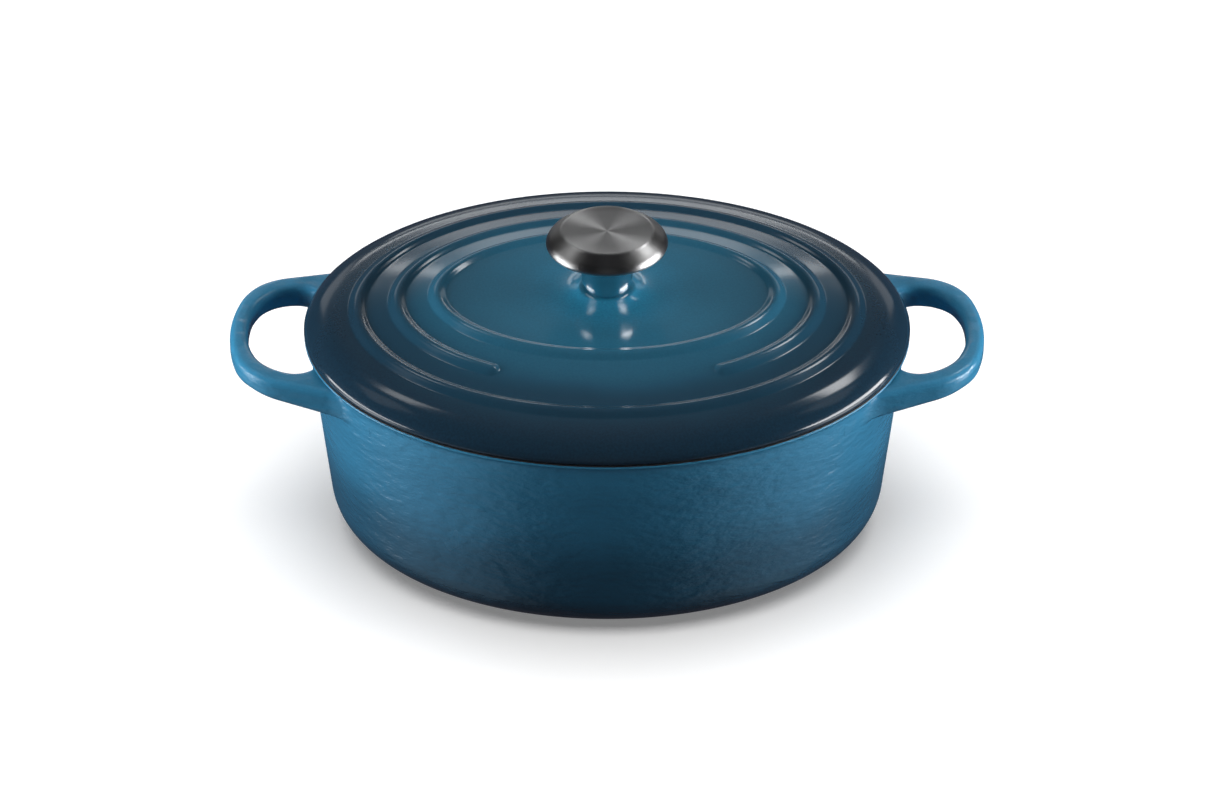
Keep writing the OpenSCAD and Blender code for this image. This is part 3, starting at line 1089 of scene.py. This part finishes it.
def build_world():
    """A dark studio with pale patches of table at the front corners and a bright one at each side."""
    world = bpy.data.worlds.new("studio")
    world.use_nodes = True
    bpy.context.scene.world = world
    t = Tree(world.node_tree)
    background = world.node_tree.nodes["Background"]
    x, y, z = t.parts(t.node("ShaderNodeTexCoord").outputs["Generated"])
    aside = t.math("ABSOLUTE", x)
    sky = dark_sky(t, aside, y, z)
    folded = t.node("ShaderNodeCombineXYZ")
    for source, axis in ((aside, "X"), (y, "Y"), (z, "Z")):
        t.link(source, folded.inputs[axis])
    corner_patch = t.towards(folded.outputs[0], TABLE_PATCH)
    table = t.ramp(corner_patch, [(0.84, (0.03, 0.03, 0.04)), (1.0, (0.2, 0.2, 0.2))])
    side_patch = t.remap(t.towards(folded.outputs[0], TABLE_SIDE), 0.94, 0.99, 0, 2.5)
    below = t.remap(z, -0.1, 0, 1, 0)
    t.link(t.mix(1.0, t.mix(below, sky, table), side_patch, "ADD"), background.inputs["Color"])
    background.inputs["Strength"].default_value = WORLD_STRENGTH


def floor_group(name, state):
    """A light-linking collection that takes in only the floor, or everything but the floor."""
    group = bpy.data.collections.new(name)
    group.objects.link(bpy.data.objects["floor"])
    group.collection_objects[0].light_linking.link_state = state
    return group


def softbox(name, place, width, height, power, shine=False, lights=None):
    """A rectangular light that faces the pot. It either lights surfaces or only shows in their shine.
    Lights is the collection that says which surfaces it reaches."""
    light = bpy.data.lights.new(name, "AREA")
    light.shape = "RECTANGLE"
    light.size = width
    light.size_y = height
    light.energy = power
    lamp = bpy.data.objects.new(name, light)
    lamp.location = place
    lamp.rotation_euler = (POT_MIDDLE - Vector(place)).to_track_quat("-Z", "Y").to_euler()
    lamp.visible_diffuse = not shine
    lamp.visible_glossy = shine
    lamp.light_linking.receiver_collection = lights
    bpy.context.scene.collection.objects.link(lamp)


def build_light():
    """Soft light from both sides and above, and the panels that show as highlights on the enamel."""
    build_world()
    only_floor = floor_group("only_floor", "INCLUDE")
    all_but_floor = floor_group("all_but_floor", "EXCLUDE")
    softbox("left_light", (-1.55, -0.09, 0.42), 1.2, 0.8, 40, lights=all_but_floor)
    softbox("right_light", (1.55, -0.09, 0.42), 1.2, 0.8, 40, lights=all_but_floor)
    softbox("top_light", (0, 0.35, 2.1), 1.8, 1.8, 18, lights=all_but_floor)
    softbox("floor_light", (0, -0.1, 2.4), 2.9, 2.9, 105, lights=only_floor)
    softbox("right_key", (0.74, 0.74, 1.35), 0.45, 0.22, 2.8, shine=True)
    softbox("left_key", (-0.612, 0.69, 1.43), 0.3, 0.2, 0.6, shine=True)
    softbox("right_strip", (1.46, -0.15, 0.38), 1.2, 0.34, 18, shine=True)
    softbox("left_strip", (-1.46, -0.15, 0.30), 1.2, 0.18, 7, shine=True)
    softbox("back_panel", (0, 2.1, 0.55), 0.9, 0.2, 0.7, shine=True)
    softbox("back_strip", (0, 2.1, 0.88), 1.1, 0.08, 1.3, shine=True)
    for side in (-1, 1):
        softbox("back_side_panel", (side * 0.85, 2.0, 0.8), 0.5, 0.5, 0.5, shine=True)
        softbox("side_panel", (side * 1.06, 0.27, 1.33), 0.4, 0.4, 0.25, shine=True)


CAMERA_DISTANCE = 2.4
CAMERA_ELEVATION = math.radians(33.93)
CAMERA_TARGET = Vector((0, 0, 0.0635))
CAMERA_LENS = 145.62


def build_camera():
    """A long lens in front of the pot and well above it."""
    data = bpy.data.cameras.new("camera")
    data.lens = CAMERA_LENS
    data.sensor_width = 36
    data.clip_start = 0.1
    camera = bpy.data.objects.new("camera", data)
    back = Vector((0, -math.cos(CAMERA_ELEVATION), math.sin(CAMERA_ELEVATION)))
    camera.location = CAMERA_TARGET + CAMERA_DISTANCE * back
    camera.rotation_euler = (-back).to_track_quat("-Z", "Y").to_euler()
    bpy.context.scene.collection.objects.link(camera)
    bpy.context.scene.camera = camera


build_pot()
build_lid()
build_knob()
build_floor()
build_light()
build_camera()
bpy.context.scene.view_settings.view_transform = "Standard"
